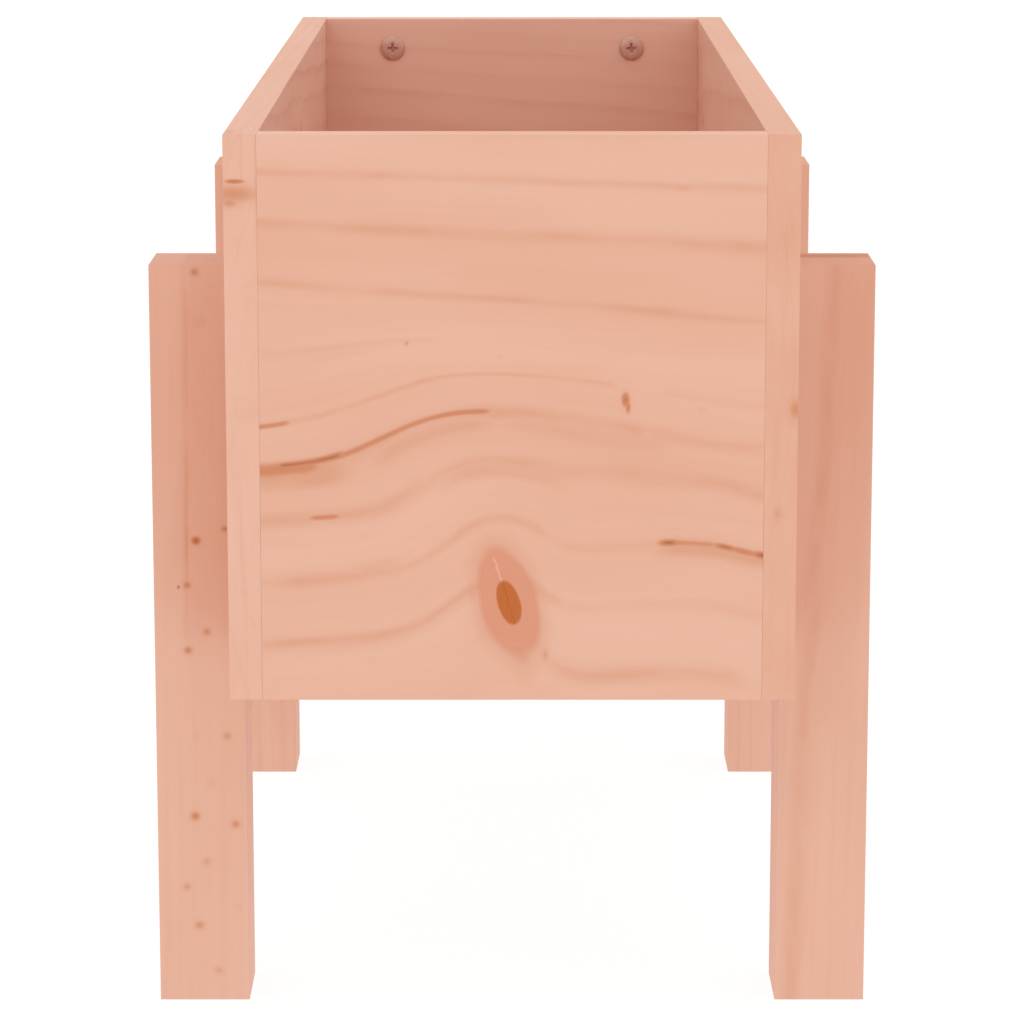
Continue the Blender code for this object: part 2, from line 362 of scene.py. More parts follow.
def glow_field(graph, u, q, line, half, dark, start, end, before):
    """The strongest of before and this broad patch, with an even middle and firm sides."""
    soft, fade = graph.least(half * 0.8, 2.4), half * 0.9 + 4.0
    inside = graph.ease(-soft, soft, half - abs(q - line))
    span = graph.ease(start - fade, start + fade, u) * (1.0 - graph.ease(end - fade, end + fade, u))
    return (graph.most(before, inside * dark * span),)


def ring_field(graph, u, q, w, pith_q, pith_w, width, seed):
    """Latewood of the annual rings, 0 to 1, from the distance to the pith."""
    side, depth = q - pith_q, w - pith_w
    radius = graph.math("SQRT", side * side + depth * depth) + u * RING_TAPER
    uneven = graph.noise(radius / 26.0, seed * 3.7, 0.0, 1.0) * 0.55
    phase = radius / width + uneven
    ring = graph.math("FLOOR", phase)
    part = phase - ring
    late = graph.ease(0.30, 0.86, part) * (1.0 - graph.ease(0.88, 1.0, part))
    each = graph.chance(ring + seed * 11.0) * 0.75 + 0.25
    return (late * late * each,)


def pine_base(graph, u, v, w, q, end, late, glow, resin, tone, seed):
    """Plain pine: broad tone, streaks, latewood, resin, then fibres or end grain."""
    broad = graph.noise(u / 170.0, q / 42.0, w / 30.0 + seed)
    streak = graph.noise(u / 140.0, q / 3.2, w / 3.2 + seed, 2.0, 0.6)
    grey = graph.ease(0.25, 1.0, graph.noise(u / 90.0, q / 14.0, w / 20.0 + seed))
    shade = graph.mix(colour(PALE), colour(WARM), broad * 0.52 + streak * 0.13 + tone)
    bands = graph.noise(w / 2.6, v / 110.0, seed, 1.0) * end
    shade = graph.mix(shade, colour(BLUSH), grey * 0.28 + graph.ease(0.2, 1.1, bands) * 0.5)
    shade = graph.mix(shade, colour(LATE), graph.most(late, glow))
    shade = graph.mix(shade, colour(RESIN), graph.ease(0.08, 0.60, resin) * 0.75)
    shade = graph.mix(shade, colour(UMBER), graph.ease(0.60, 1.0, resin) * 0.65)
    return (shade,)


def pine_skin(graph, shade, u, v, w, end, dark, late, resin, pins, hollow, seed):
    """The sawn and planed surface: pin knots, fibres, pores of the end grain, and their relief."""
    fibre = graph.noise(u / 16.0, v / 0.55, w / 0.55 + seed, 2.0, 0.6)
    pores = graph.noise(u / 1.2, v / 0.45, w / 0.45 + seed, 1.0)
    fine = fibre * (1.0 - end) + pores * end
    shade = graph.mix(shade, colour(LATE), graph.ease(0.03, 0.60, pins) * 0.55)
    shade = graph.mix(shade, colour(RESIN), graph.ease(0.30, 0.62, pins) * 0.80)
    shade = graph.mix(shade, colour(UMBER), graph.ease(0.62, 0.95, pins) * 0.60)
    # dark: the end grain's own darker tone, plus painted shade on the narrow sides of a piece (the
    # rims)
    shade = graph.mix(shade, colour(LATE), end * graph.least(abs(pores), 1.0) * 0.16 + dark)
    shade = graph.mix(shade, colour(LATE), graph.ease(0.2, 2.2, fine) * 0.28)
    shade = graph.mix(shade, colour(KNOT_SEAM), graph.ease(0.2, 2.2, -fine) * 0.20)
    height = fine * 0.5 + late * 0.8 - (hollow + pins * 0.5) * 2.5
    rough = fine * 0.035 - late * 0.06 - resin * 0.15 + 0.60
    return shade, rough, height


def pine_groups():
    """The node groups that every piece of timber shares."""
    number, vector, tint = "value", "vector", "colour"
    place = dict(u=number, v=number, w=number)
    return {
        "knot_shape": group(
            "knot_shape",
            dict(place=vector, middle=vector, size=vector, turn=number, seed=number),
            dict(far=number, x=number, y=number, push=number),
            knot_shape,
        ),
        "knot_paint": group(
            "knot_paint",
            dict(
                shade=tint, hollow=number, far=number, x=number, y=number,
                breadth=number, heart=number, dark=number,
            ),
            dict(shade=tint, hollow=number),
            knot_paint,
        ),
        "pin": group(
            "pin",
            dict(place=vector, middle=vector, size=vector, dark=number, before=number),
            dict(field=number),
            pin_field,
        ),
        "mark": group(
            "mark",
            dict(
                u=number, q=number, line=number, half=number, dark=number,
                start=number, end=number, before=number,
            ),
            dict(field=number),
            mark_field,
        ),
        "glow": group(
            "glow",
            dict(
                u=number, q=number, line=number, half=number, dark=number,
                start=number, end=number, before=number,
            ),
            dict(field=number),
            glow_field,
        ),
        "rings": group(
            "rings",
            dict(
                u=number, q=number, w=number, pith_q=number, pith_w=number,
                width=number, seed=number,
            ),
            dict(late=number),
            ring_field,
        ),
        "base": group(
            "pine_base",
            dict(
                **place, q=number, end=number, late=number, glow=number, resin=number,
                tone=number, seed=number,
            ),
            dict(shade=tint),
            pine_base,
        ),
        "skin": group(
            "pine_skin",
            dict(
                shade=tint, **place, end=number, dark=number, late=number, resin=number,
                pins=number, hollow=number, seed=number,
            ),
            dict(shade=tint, rough=number, height=number),
            pine_skin,
        ),
    }


def marks_on(graph, kind, u, q, marks, patch):
    """The strongest of these marks at this place. kind is the node group that draws one."""
    total = 0.0
    for mark in marks:
        (total,) = graph.call(
            kind, u=u, q=q, line=mark.line, half=mark.half, dark=mark.dark,
            start=mark.start, end=mark.end, before=total,
        )
    return total * patch if marks else 0.0


def grain_line(graph, timber, u, v, w, pushes):
    """The across coordinate that growth rings follow: v, bent by slope, sway and knots."""
    seed = timber.seed * 7.31
    sway = graph.noise(u / 230.0, v / 150.0 + seed, w / 90.0, 1.0) * timber.sway
    fine = graph.noise(u / 45.0, v / 18.0, w / 18.0 + seed, 1.0) * 0.35
    if timber.pith is None:
        return front_line(graph, u, v, w) + sway + fine
    q = v + u * timber.slope
    for push in pushes:
        q = q - push
    return q + sway + fine


def front_line(graph, u, v, w):
    """The front end board's growth rings: they climb to the right low down and fall to the right
    high up, and all of them rise over the big knot, steeply on its left and slowly on its right."""
    lean = graph.ease(14.0, 42.0, v) * 0.136 - graph.ease(34.0, 86.0, v) * 0.051 - 0.055
    level = graph.ease(-48.0, 8.0, v)
    side = u + 4.0 + level * 12.0
    right = graph.math("GREATER_THAN", side, 0.0)
    left_width, right_width = level * 20.0 + 28.0, level * 44.0 + 26.0
    width = left_width + (right_width - left_width) * right
    rise = (21.0 - level * 3.2) * (1.0 - graph.ease(16.0, 52.0, v)) * graph.bell(side, width)
    drop = graph.ease(58.0, 102.0, u) * (1.0 - graph.ease(20.0, 50.0, v)) * 3.4
    low = 1.0 - graph.ease(-24.0, -6.0, v)
    shelf = (graph.ease(14.0, 48.0, u) * 6.8 - graph.ease(76.0, 106.0, u) * 4.6) * low
    return v + lean * (u + 99.0) - rise + drop - shelf + (w + 6.5) * 0.5


def size_of(knot):
    return knot.half_u, knot.half_v, knot.half_w or THROUGH


def knot_shapes(graph, groups, timber, here, seed):
    """Each sound knot of a piece, with its distance, own axes and push on rings at this place."""
    sound = [knot for knot in timber.knots if knot.heart < 1.0]
    return [
        (knot, graph.call(
            groups["knot_shape"], place=here, middle=(knot.u, knot.v, knot.w), size=size_of(knot),
            turn=math.radians(-knot.turn), seed=seed + index,
        ))
        for index, knot in enumerate(sound)
    ]


def latewood(graph, groups, timber, u, q, w, patch, end, side):
    """Dark lines of the growth rings: the ones listed, and the ones about the pith."""
    late = marks_on(graph, groups["mark"], u, q, timber.lines, patch)
    if not timber.pith:
        return late
    (rings,) = graph.call(
        groups["rings"], u=u, q=q, w=w, pith_q=timber.pith[0], pith_w=timber.pith[1],
        width=timber.rings, seed=float(timber.seed),
    )
    hidden = end * (1.0 - timber.ends[1]) + side * (1.0 - timber.sides[1])
    return graph.most(rings * patch * (1.0 - hidden) * timber.contrast, late)


def paint_knots(graph, groups, shade, shapes):
    """Paints the sound knots over the wood, and says how hollow it is there."""
    hollow = 0.0
    for knot, (far, x, y, _) in shapes:
        shade, hollow = graph.call(
            groups["knot_paint"], shade=shade, hollow=hollow, far=far, x=x, y=y,
            breadth=knot.half_u, heart=knot.heart, dark=knot.dark,
        )
    return shade, hollow


def pin_spots(graph, groups, here, spots):
    """The strongest of these pin knots and stains at this place."""
    pins = 0.0
    for spot in spots:
        (pins,) = graph.call(
            groups["pin"], place=here, middle=(spot.u, spot.v, spot.w), size=size_of(spot),
            dark=spot.dark, before=pins,
        )
    return pins


def pine(name, timber, groups, middle, stains):
    """Planed pine for one piece: its own rings, marks and knots on the shared wood."""
    material, graph, shader = new_material(name)
    place = graph.split(graph.node("ShaderNodeTexCoord").outputs["Object"])
    normal = graph.split(graph.node("ShaderNodeNewGeometry").outputs["Normal"])
    u, v, w = ((place[axis] - middle[axis]) * 1000.0 for axis in timber.axes)
    end, side = (graph.ease(*FACING, abs(normal[axis])) for axis in timber.axes[:2])
    here = graph.join(u, v, w)
    seed = timber.seed * 5.17

    shapes = knot_shapes(graph, groups, timber, here, seed)
    q = grain_line(graph, timber, u, v, w, [shape[3] for _, shape in shapes])
    patch = graph.noise(u / 26.0, q / 7.0, w / 9.0 + seed, 3.0) * 0.75 + 0.85
    late = latewood(graph, groups, timber, u, q, w, patch, end, side)
    glow = marks_on(graph, groups["glow"], u, q, timber.glows, patch * 0.5 + 0.42)
    resin = marks_on(graph, groups["mark"], u, q, timber.resin, patch * 0.3 + 0.75)
    (shade,) = graph.call(
        groups["base"], u=u, v=v, w=w, q=q, end=end, late=late, glow=glow, resin=resin,
        tone=timber.tone, seed=seed,
    )
    shade, hollow = paint_knots(graph, groups, shade, shapes)
    pins = pin_spots(
        graph, groups, here, (*(k for k in timber.knots if k.heart >= 1.0), *stains)
    )
    # dark: end grain's own tone, plus painted shade on the narrow sides that tones down the top light
    # on the rims
    shade, rough, height = graph.call(
        groups["skin"], shade=shade, u=u, v=v, w=w, end=end, late=late, resin=resin, pins=pins,
        dark=end * timber.ends[0] + side * timber.sides[0], hollow=hollow, seed=seed,
    )
    bump = graph.node(
        "ShaderNodeBump", {"Strength": GRAIN_STRENGTH, "Distance": GRAIN_DEPTH, "Height": height}
    )
    graph.feed(shader.inputs["Base Color"], shade)
    graph.feed(shader.inputs["Roughness"], rough)
    graph.feed(shader.inputs["Normal"], bump.outputs[0])
    shader.inputs["IOR"].default_value = WOOD_IOR
    shader.inputs["Specular IOR Level"].default_value = WOOD_GLOSS
    return material


# --- what each piece of timber looks like ---------------------------------------------------------


def pin_knots(seed, count, length, across, deep):
    """Small dark knots scattered over the four long faces of a post or batten."""
    dice = random.Random(seed)
    found = []
    for index in range(count):
        u = dice.uniform(-length, length)
        size = dice.uniform(0.7, 1.3)
        face = index % 4
        v, w = dice.uniform(-across, across) * 0.8, dice.uniform(-deep, deep) * 0.8
        v, w = ((across, w), (-across, w), (v, deep), (v, -deep))[face]
        found.append(Knot(u, v, w, size * 1.3, size, size * 1.6, 0, 1.0, dice.uniform(0.4, 0.9)))
    return found


FRONT_LINES = (
    Mark(97.4, 1.9, 0.34, *ALL),
    Mark(77.2, 2.3, 0.38, *ALL),
    Mark(54.4, 2.0, 0.36, *ALL),
    Mark(25.9, 1.9, 0.20, -99, -30),
    Mark(-2.7, 1.2, 0.36, -103, 40),
    Mark(-2.7, 2.0, 0.16, 60, 99),
    Mark(-19.3, 2.8, 0.42, -103, 52),
    Mark(-19.3, 2.8, 0.24, 52, 103),
    Mark(-39.6, 3.0, 0.38, *ALL),
    Mark(-64.3, 2.5, 0.36, -103, 14),
    Mark(-64.3, 2.5, 0.16, 14, 103),
    Mark(-89.2, 2.3, 0.36, -103, 20),
    Mark(-89.2, 2.6, 0.16, 20, 103),
    Mark(-116.5, 3.6, 0.36, 15, 90),
)
FRONT_RESIN = (
    Mark(-2.7, 1.1, 0.62, -103, -87),
    Mark(-19.5, 3.0, 0.66, -103, -76),
    Mark(-18.2, 1.3, 0.92, -92, -66),
    Mark(-18.6, 1.15, 0.66, -70, -9),
    Mark(-39.5, 1.1, 0.62, -79, -68),
    Mark(-64.0, 1.4, 0.88, 58, 65),
    Mark(-64.0, 1.3, 0.42, 62, 80),
    Mark(-64.0, 1.3, 0.80, 80, 88),
    Mark(-64.0, 1.3, 0.66, 86, 96),
    Mark(-64.0, 1.5, 0.92, 95, 103),
)
FRONT_GLOWS = (
    Mark(-23.0, 4.6, 0.62, -103, -66),
    Mark(-24.2, 3.0, 0.40, -52, -10),
    Mark(-24.0, 3.4, 0.26, 0, 60),
    Mark(-42.0, 5.0, 0.30, -26, 20),
    Mark(-66.0, 3.6, 0.55, 58, 103),
    Mark(-62.6, 3.0, 0.35, -62, -44),
    Mark(-104.0, 8.0, 0.30, -12, 6),
)
FRONT_KNOTS = (
    Knot(-1.2, -73.0, 0, 11.8, 24.0, 0, 16, 0.38, 1.0),
    Knot(44.3, 8.4, 0, 1.9, 3.6, 0, 0, 1.0, 0.78),
    Knot(45.3, 5.4, 0, 1.3, 3.2, 0, 0, 1.0, 0.66),
    Knot(44.6, 7.0, 0, 5.6, 7.6, 0, 0, 1.0, 0.20),
    Knot(66.0, 91.2, 0, 5.5, 1.8, 0, 0, 1.0, 0.26),
    Knot(-51.0, 95.6, 0, 3.6, 2.2, 0, 0, 1.0, 0.22),
    Knot(13.2, -93.6, 0, 1.6, 2.8, 0, 0, 1.0, 0.42),
    Knot(-15.5, -70.5, 0, 1.8, 3.2, 0, 0, 1.0, 0.26),
    Knot(-41.0, 30.6, -6, 1.1, 1.1, 6, 0, 1.0, 0.50),
    Knot(-5.0, 25.4, -6, 0.9, 0.9, 6, 0, 1.0, 0.30),
    Knot(74.0, 4.4, -6, 2.4, 2.0, 6, 0, 1.0, 0.26),
    Knot(-55.6, -95.7, -6, 3.0, 2.4, 6, 0, 1.0, 0.20),
)


# Pin knots on the front of the left front post: height from the ground, distance to the right of
# the post's middle, size and strength.
POST_SPOTS = (
    (200, -1, 1.7, 0.95), (205, 11, 1.6, 0.60), (313, 0, 1.9, 0.55), (181, -5, 1.9, 0.56),
    (161, 3, 2.1, 0.50), (153, -5, 2.0, 0.56), (116, 11, 2.1, 0.46), (116, -2, 1.8, 0.26),
    (96, 4, 2.2, 0.28), (81, -3, 2.3, 0.58), (77.5, 14, 2.3, 0.50), (61, 1.5, 2.3, 0.40),
    (50, -7, 2.2, 0.44), (41, 15, 1.8, 0.26), (33, -2, 2.4, 0.48), (13, 6, 2.4, 0.40),
    (292, 2, 2.6, 0.28),
)
POST_MIDDLE, POST_FRONT = 158, -19


def post_spots():
    return [
        Knot(z - POST_MIDDLE, x, POST_FRONT, size * 1.2, size * 1.3, 4.0, 0, 1.0, dark)
        for z, x, size, dark in POST_SPOTS
    ]


def timber_of(axes, seed, pith, rings, **rest):
    """A piece's cut, with the usual values for whatever is not given."""
    base = dict(
        contrast=0.50, ends=(0.3, 0.9), sides=(0.0, 1.0), slope=0.0, sway=5.0, tone=0.5,
        lines=(), resin=(), glows=(), knots=(),
    )
    return Timber(axes=axes, seed=seed, pith=pith, rings=rings, **{**base, **rest})


def slat(n):
    """The nth floor slat, with a knot in a different place on each."""
    knot = Knot((n * 47) % 130 - 62, (n * 29) % 50 - 24, 0, 6, 4.6, 0, 9 * n, 0.45, 0.9)
    pith = ((-1) ** n * 18.0, 48.0 + 6 * n)
    return timber_of(SLAT_AXES, 20 + n, pith, 5.6, slope=0.01 * (n - 3), knots=(knot,))


TIMBERS = {
    "end_board_front": timber_of(
        END_AXES, 1, None, 0, sway=0.6, tone=0.66,
        lines=FRONT_LINES, resin=FRONT_RESIN, glows=FRONT_GLOWS, knots=FRONT_KNOTS,
    ),
    "end_board_rear": timber_of(
        END_AXES, 2, (15.0, 118.0), 6.2, contrast=0.24, slope=0.02, tone=0.05,
        knots=(Knot(38, -42, 0, 9, 7, 0, 20, 0.45, 0.9), Knot(-61, 14, 0, 4, 3, 0, 0, 0.6, 0.8)),
    ),
    # sides: the first number is painted shade on the top and bottom faces; the second is how much of
    # the rings they show
    "side_board_left": timber_of(
        SIDE_AXES, 3, (-22.0, 330.0), 4.8, contrast=0.62, ends=(0.02, 0.16), sides=(0.22, 0.45),
        slope=0.012, sway=7.0, tone=0.3,
        knots=(
            Knot(-118, 30, 0, 11, 8.5, 0, 12, 0.42, 0.95),
            Knot(146, -38, 0, 13, 9, 0, -8, 0.4, 1.0),
            Knot(28, 78, 0, 5, 4, 0, 0, 0.55, 0.8),
            Knot(-312, 89.0, -2, 16, 5.8, 15.0, 0, 1.0, 0.50),
            Knot(-312, 85.6, -4, 16, 3.0, 5.0, 0, 1.0, 0.50),
            Knot(-312, 93.8, -2, 10, 1.1, 4.6, 0, 1.0, 0.84),
            Knot(-300, 112, -4, 9, 3.0, 3.0, 0, 1.0, 0.42),
        ),
    ),
    # sides: the first number is painted shade on the top and bottom faces; the second is how much of
    # the rings they show
    "side_board_right": timber_of(
        SIDE_AXES, 4, (26.0, -300.0), 4.6, contrast=0.62, ends=(0.16, 0.16), sides=(0.26, 0.45),
        slope=-0.015, sway=7.0, tone=0.65,
        knots=(
            Knot(92, 20, 0, 12, 9, 0, 10, 0.42, 1.0),
            Knot(-172, -46, 0, 10, 8, 0, 5, 0.42, 0.9),
            Knot(218, 66, 0, 5, 4, 0, 0, 0.55, 0.8),
            Knot(-312, 4.6, 5.6, 14, 6.2, 4.0, 0, 1.0, 0.52),
            Knot(-312, -12.0, -2, 14, 26.0, 2.4, 0, 1.0, 0.26),
            Knot(-312, -37.0, -1, 12, 4.2, 2.8, 0, 1.0, 0.40),
            Knot(-312, 76.0, 3, 12, 17.0, 1.8, 0, 1.0, 0.20),
        ),
    ),
    "leg_front_left": timber_of(
        POST_AXES, 5, (60.0, 30.0), 5.0, contrast=0.09, tone=0.42, ends=(0.35, 0.5),
        lines=(Mark(-5.6, 0.8, 0.55, 8, 72), Mark(-5.6, 1.6, 0.40, 0, 200)),
        glows=(Mark(10.0, 15.8, 0.26, -2, 200),),
        knots=(*post_spots(), *pin_knots(5, 10, *POST_FACES)),
    ),
    "leg_front_right": timber_of(
        POST_AXES, 6, (-55.0, 34.0), 5.2, contrast=0.10, ends=(0.50, 0.9), slope=-0.049,
        sway=2.0,
        lines=(Mark(-5.2, 4.0, 0.34, *ALL), Mark(-4.6, 1.2, 0.20, -20, 160)),
        glows=(Mark(6.0, 9.0, 0.16, -40, 200),),
        knots=(*pin_knots(16, 3, *POST_FACES), Knot(158, 2, 10, 3, 30, 7.0, 0, 1.0, 1.0)),
    ),
    "leg_rear_left": timber_of(
        POST_AXES, 7, (50.0, -38.0), 5.4, contrast=0.17, slope=0.03,
        knots=pin_knots(17, 8, *POST_FACES),
    ),
    "leg_rear_right": timber_of(
        POST_AXES, 8, (-48.0, -42.0), 5.1, contrast=0.20, slope=-0.02,
        knots=pin_knots(18, 5, *POST_FACES),
    ),
    "floor_cleat_left": timber_of(
        SIDE_AXES, 9, (40.0, 30.0), 4.6, knots=pin_knots(19, 8, *CLEAT_FACES),
    ),
    "floor_cleat_right": timber_of(
        SIDE_AXES, 10, (-36.0, 34.0), 4.8, knots=pin_knots(20, 6, *CLEAT_FACES),
    ),
    **{f"floor_slat_{n}": slat(n) for n in range(1, 7)},
}


# --- timber shapes --------------------------------------------------------------------------------


def stations(half, focus=()):
    """Places of the grid lines across one side, in millimetres: close at edges and at knots."""
    found = [half - s for s in EDGE_STATIONS]
    found += [-s for s in found]
    inner = half - EDGE_STATIONS[-1]
    steps = max(1, math.ceil(2 * inner / CELL))
    found += [-inner + 2 * inner * i / steps for i in range(1, steps)]
    for middle, reach in focus:
        count = math.ceil(reach / KNOT_CELL)
        found += [middle + reach * i / count for i in range(-count, count + 1)]
    found = sorted(s for s in found if abs(s) <= half)
    near_gap, far_gap = LEAST_GAPS
    kept = [found[0]]
    for s in found[1:]:
        near_edge = half - abs(s) < EDGE_STATIONS[-1] + 0.01
        if s - kept[-1] > (near_gap if near_edge else far_gap):
            kept.append(s)
        elif near_edge:
            kept[-1] = s
    return kept


def relief(timber, u, v):
    """How far a face stands proud of the plane at its knots, in millimetres."""
    total = 0.0
    for knot in timber.knots:
        if knot.heart < 1.0:
            turn = math.radians(knot.turn)
            du, dv = u - knot.u, v - knot.v
            a = (du * math.cos(turn) + dv * math.sin(turn)) / knot.half_u
            b = (dv * math.cos(turn) - du * math.sin(turn)) / knot.half_v
            far = math.hypot(a, b)
            total += KNOT_SWELL * math.exp(-((far - SWELL_PLACE) / SWELL_WIDTH) ** 2)
            total -= KNOT_HOLLOW * math.exp(-(far / knot.heart) ** 2)
    return total


def rounded(point, half, radius):
    """Moves a point of a box's surface onto the same box with rounded edges."""
    inner = [max(-(h - radius), min(h - radius, p)) for p, h in zip(point, half)]
    away = Vector(p - i for p, i in zip(point, inner))
    return Vector(inner) + away.normalized() * radius if away.length > 1e-9 else Vector(point)


def surface_point(timber, flat, half):
    """Where a point of the plain box goes, in metres about the piece's middle."""
    waves = [p / length for p, length in zip(flat, EDGE_WAVES)]
    worn = noise.noise(Vector((waves[0], waves[1], waves[2] + timber.seed)))
    radius = EDGE_ROUND + EDGE_ROUND_SPREAD * worn
    if timber.axes == END_AXES and half[0] - abs(flat[0]) < EDGE_STATIONS[-1]:
        radius *= TIGHT
    place = rounded(flat, half, radius)
    inside = all(half[a] - abs(flat[a]) > FLAT_MARGIN for a in (0, 1))
    if abs(flat[2]) == half[2] and inside:
        place[2] += math.copysign(relief(timber, flat[0], flat[1]), flat[2])
    real = [0.0, 0.0, 0.0]
    for axis, value in zip(timber.axes, place):
        real[axis] = value * MM
    return real


def box_faces(counts):
    """The grid faces of a box's six sides, each as four (i, j, k) indices of grid points."""
    for out in range(3):
        one, two = (out + 1) % 3, (out + 2) % 3
        for end in (0, counts[out] - 1):
            for i in range(counts[one] - 1):
                for j in range(counts[two] - 1):
                    face = []
                    for di, dj in ((0, 0), (1, 0), (1, 1), (0, 1)):
                        index = [0, 0, 0]
                        index[out], index[one], index[two] = end, i + di, j + dj
                        face.append(tuple(index))
                    yield face


def timber_mesh(name, timber, half):
    """A planed timber with softly uneven edges, in metres about its own middle."""
    big = [k for k in timber.knots if k.heart < 1.0 and k.half_u > MODELLED_KNOT]
    lines = (
        stations(half[0], [(k.u, k.half_u * KNOT_REACH) for k in big]),
        stations(half[1], [(k.v, k.half_v * KNOT_REACH) for k in big]),
        stations(half[2]),
    )
    mesh = bmesh.new()
    points = {}
    for face in box_faces([len(line) for line in lines]):
        for index in face:
            if index not in points:
                flat = Vector(line[i] for line, i in zip(lines, index))
                points[index] = mesh.verts.new(surface_point(timber, flat, half))
        mesh.faces.new([points[index] for index in face])
    bmesh.ops.recalc_face_normals(mesh, faces=mesh.faces)
    return mesh_data(name, mesh)


def mesh_data(name, mesh):
    data = bpy.data.meshes.new(name)
    mesh.to_mesh(data)
    mesh.free()
    return data


def link(name, data, place=Matrix.Identity(4)):
    made = bpy.data.objects.new(name, data)
    made.matrix_world = place
    bpy.context.scene.collection.objects.link(made)
    return made


def cut(piece, cutter):
    """Cuts one closed mesh out of another."""
    knife = link("knife", cutter)
    modifier = piece.modifiers.new("cut", "BOOLEAN")
    modifier.operation, modifier.solver, modifier.object = "DIFFERENCE", "EXACT", knife
    bpy.context.view_layer.update()
    result = piece.evaluated_get(bpy.context.evaluated_depsgraph_get())
    made = bpy.data.meshes.new_from_object(result)
    piece.modifiers.remove(modifier)
    bpy.data.objects.remove(knife)
    made.name = piece.data.name
    piece.data = made


def finish_mesh(data):
    data.shade_smooth()
    data.set_sharp_from_angle(angle=math.radians(SHARP))


# --- screws ---------------------------------------------------------------------------------------


def screw_rows(screw):
    """(depth, radius, share of the thread) down a screw from the top of its head."""
    if screw.wide:
        head, neck = WIDE_HEAD, WIDE_HEAD[-1][0]
    else:
        head = [(depth, screw.head - less) for depth, less in FLAT_HEAD]
        neck = FLAT_HEAD[-1][0] + screw.head - screw.shank
    core = screw.shank * CORE_SHARE
    point = screw.length - screw.shank * POINT_SHARE
    bare = neck + (point - neck) * screw.bare
    rows = [(depth, radius, 0.0) for depth, radius in head]
    rows += [(depth, screw.shank * NECK_SHARE, 0.0) for depth in (neck, bare)]
    step = screw.pitch / THREAD_ROWS
    count = int((point - bare) / step)
    rows += [(bare + step * (i + 1), core, min(1.0, i / THREAD_ROWS)) for i in range(count)]
    tip = rows[-1][0]
    for i in range(1, THREAD_ROWS):
        share = i / THREAD_ROWS
        rows.append((tip + (screw.length - tip) * share, core * (1 - share ** 1.4), 1 - share))
    return rows


def screw_mesh(screw):
    """A wood screw, its head's top at the origin and its point down -Z; its cross recess is cut
    later.
    """
    mesh = bmesh.new()
    top = mesh.verts.new((0, 0, 0))
    point = mesh.verts.new((0, 0, -screw.length * MM))
    rings = []
    for depth, radius, thread in screw_rows(screw):
        ring = []
        for i in range(TURN_STEPS):
            angle = math.tau * i / TURN_STEPS
            phase = (depth / screw.pitch + i / TURN_STEPS) % 1.0
            ridge = max(0.0, 1 - abs(phase - 0.5) / RIDGE_HALF) * thread * screw.shank * RIDGE_SHARE
            place = Vector((math.cos(angle), math.sin(angle), 0)) * (radius + ridge)
            ring.append(mesh.verts.new((place.x * MM, place.y * MM, -depth * MM)))
        rings.append(ring)
    for i in range(TURN_STEPS):
        j = (i + 1) % TURN_STEPS
        mesh.faces.new((top, rings[0][i], rings[0][j]))
        mesh.faces.new((point, rings[-1][j], rings[-1][i]))
        for upper, lower in zip(rings, rings[1:]):
            mesh.faces.new((upper[i], lower[i], lower[j], upper[j]))
    return mesh_data("screw", mesh)


def recess_mesh(reach):
    """The cross recess: a cross that gets smaller as it goes down."""
    mesh = bmesh.new()
    near, far = RECESS_WIDTH, reach
    outline = [(far, -near), (far, near), (near, near)]
    outline = [Matrix.Rotation(math.pi / 2 * k, 2) @ Vector(p) for k in range(4) for p in outline]
    rings = [
        [mesh.verts.new(Vector((p.x * grow, p.y * grow, height)) * MM) for p in outline]
        for height, grow in ((RECESS_RISE, RECESS_FLARE), (-RECESS_DEPTH, RECESS_TAPER))
    ]
    close_rings(mesh, rings)
    return mesh_data("recess", mesh)


def close_rings(mesh, rings):
    """Skins rings of points from the top down, and closes both ends."""
    mesh.faces.new(rings[0])
    mesh.faces.new(reversed(rings[-1]))
    for upper, lower in zip(rings, rings[1:]):
        for i, j in zip(range(len(upper)), (*range(1, len(upper)), 0)):
            mesh.faces.new((upper[i], lower[i], lower[j], upper[j]))


def hole_profile(screw):
    """The hole that a screw sits in, as (height, radius) down its axis, in millimetres."""
    wide, narrow = screw.head + HEAD_ROOM, screw.shank + SHANK_ROOM
    bottom = -screw.length - END_ROOM
    if screw.wide:
        return [(-UNDER_HEAD, narrow), (bottom, narrow)]
    cone = -HOLE_RIM - wide + narrow
    return [(HOLE_RISE, wide), (-HOLE_RIM, wide), (cone, narrow), (bottom, narrow)]


def holes_mesh(screws):
    """The holes of several screws in one closed mesh."""
    mesh = bmesh.new()
    for screw, place in screws:
        rings = []
        for height, radius in hole_profile(screw):
            rings.append([
                mesh.verts.new(place @ Vector((
                    math.cos(math.tau * i / HOLE_STEPS) * radius * MM,
                    math.sin(math.tau * i / HOLE_STEPS) * radius * MM,
                    height * MM,
                )))
                for i in range(HOLE_STEPS)
            ])
        close_rings(mesh, rings)
    return mesh_data("holes", mesh)


def metal(name, tone, metallic, rough):
    """Screw metal: a little uneven in tone and gloss, with fine marks from making and driving."""
    material, graph, shader = new_material(name)
    place = graph.split(graph.node("ShaderNodeTexCoord").outputs["Object"])
    x, y, z = (axis * 1000.0 for axis in place)
    cloud = graph.noise(x / 2.2, y / 2.2, z / 2.2, 3.0)
    marks = graph.noise(x / 0.25, y / 0.25, z / 0.25, 2.0)
    dark = tuple(int(c * 0.80) for c in tone)
    shade = graph.mix(colour(tone), colour(dark), cloud * 0.4 + 0.4)
    graph.feed(shader.inputs["Base Color"], shade)
    graph.feed(shader.inputs["Roughness"], cloud * 0.06 + marks * 0.04 + rough)
    bump = graph.node("ShaderNodeBump", {"Strength": 0.3, "Distance": METAL_GRAIN, "Height": marks})
    graph.feed(shader.inputs["Normal"], bump.outputs[0])
    shader.inputs["Metallic"].default_value = metallic
    return material


